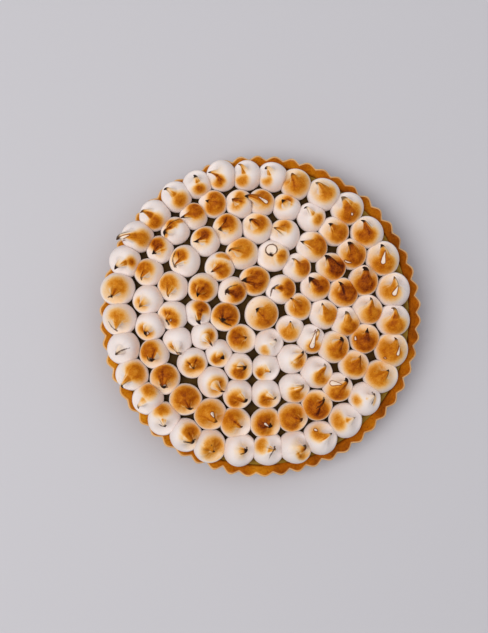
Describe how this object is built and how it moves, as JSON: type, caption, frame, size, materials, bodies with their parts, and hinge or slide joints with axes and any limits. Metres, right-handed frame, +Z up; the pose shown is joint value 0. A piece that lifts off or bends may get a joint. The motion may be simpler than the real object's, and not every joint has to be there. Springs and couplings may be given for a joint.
{
  "type": "lemon meringue tart",
  "caption": "Round fluted shortcrust tart filled with lemon curd and covered with concentric rings of piped, torched meringue kisses whose tips all sweep one way.",
  "frame": {"origin": "middle of the shell's flat underside", "axes": "+Z up through the tart, the tips of the kisses sweep anticlockwise seen from above"},
  "size_m": [0.2288, 0.229, 0.0432],
  "materials": {
    "shortcrust": "baked golden brown shortcrust pastry, dry and slightly crumbly",
    "curd": "set lemon curd, smooth with a soft shine",
    "meringue": "smooth satin white meringue, blowtorched to amber brown on the tops"
  },
  "bodies": {
    "root": {"pastry_shell": "shortcrust", "lemon_curd": "curd", "kisses_outer": "meringue", "kisses_second": "meringue", "kisses_third": "meringue", "kisses_fourth": "meringue", "kisses_inner": "meringue", "kisses_middle": "meringue"}
  },
  "joints": []
}
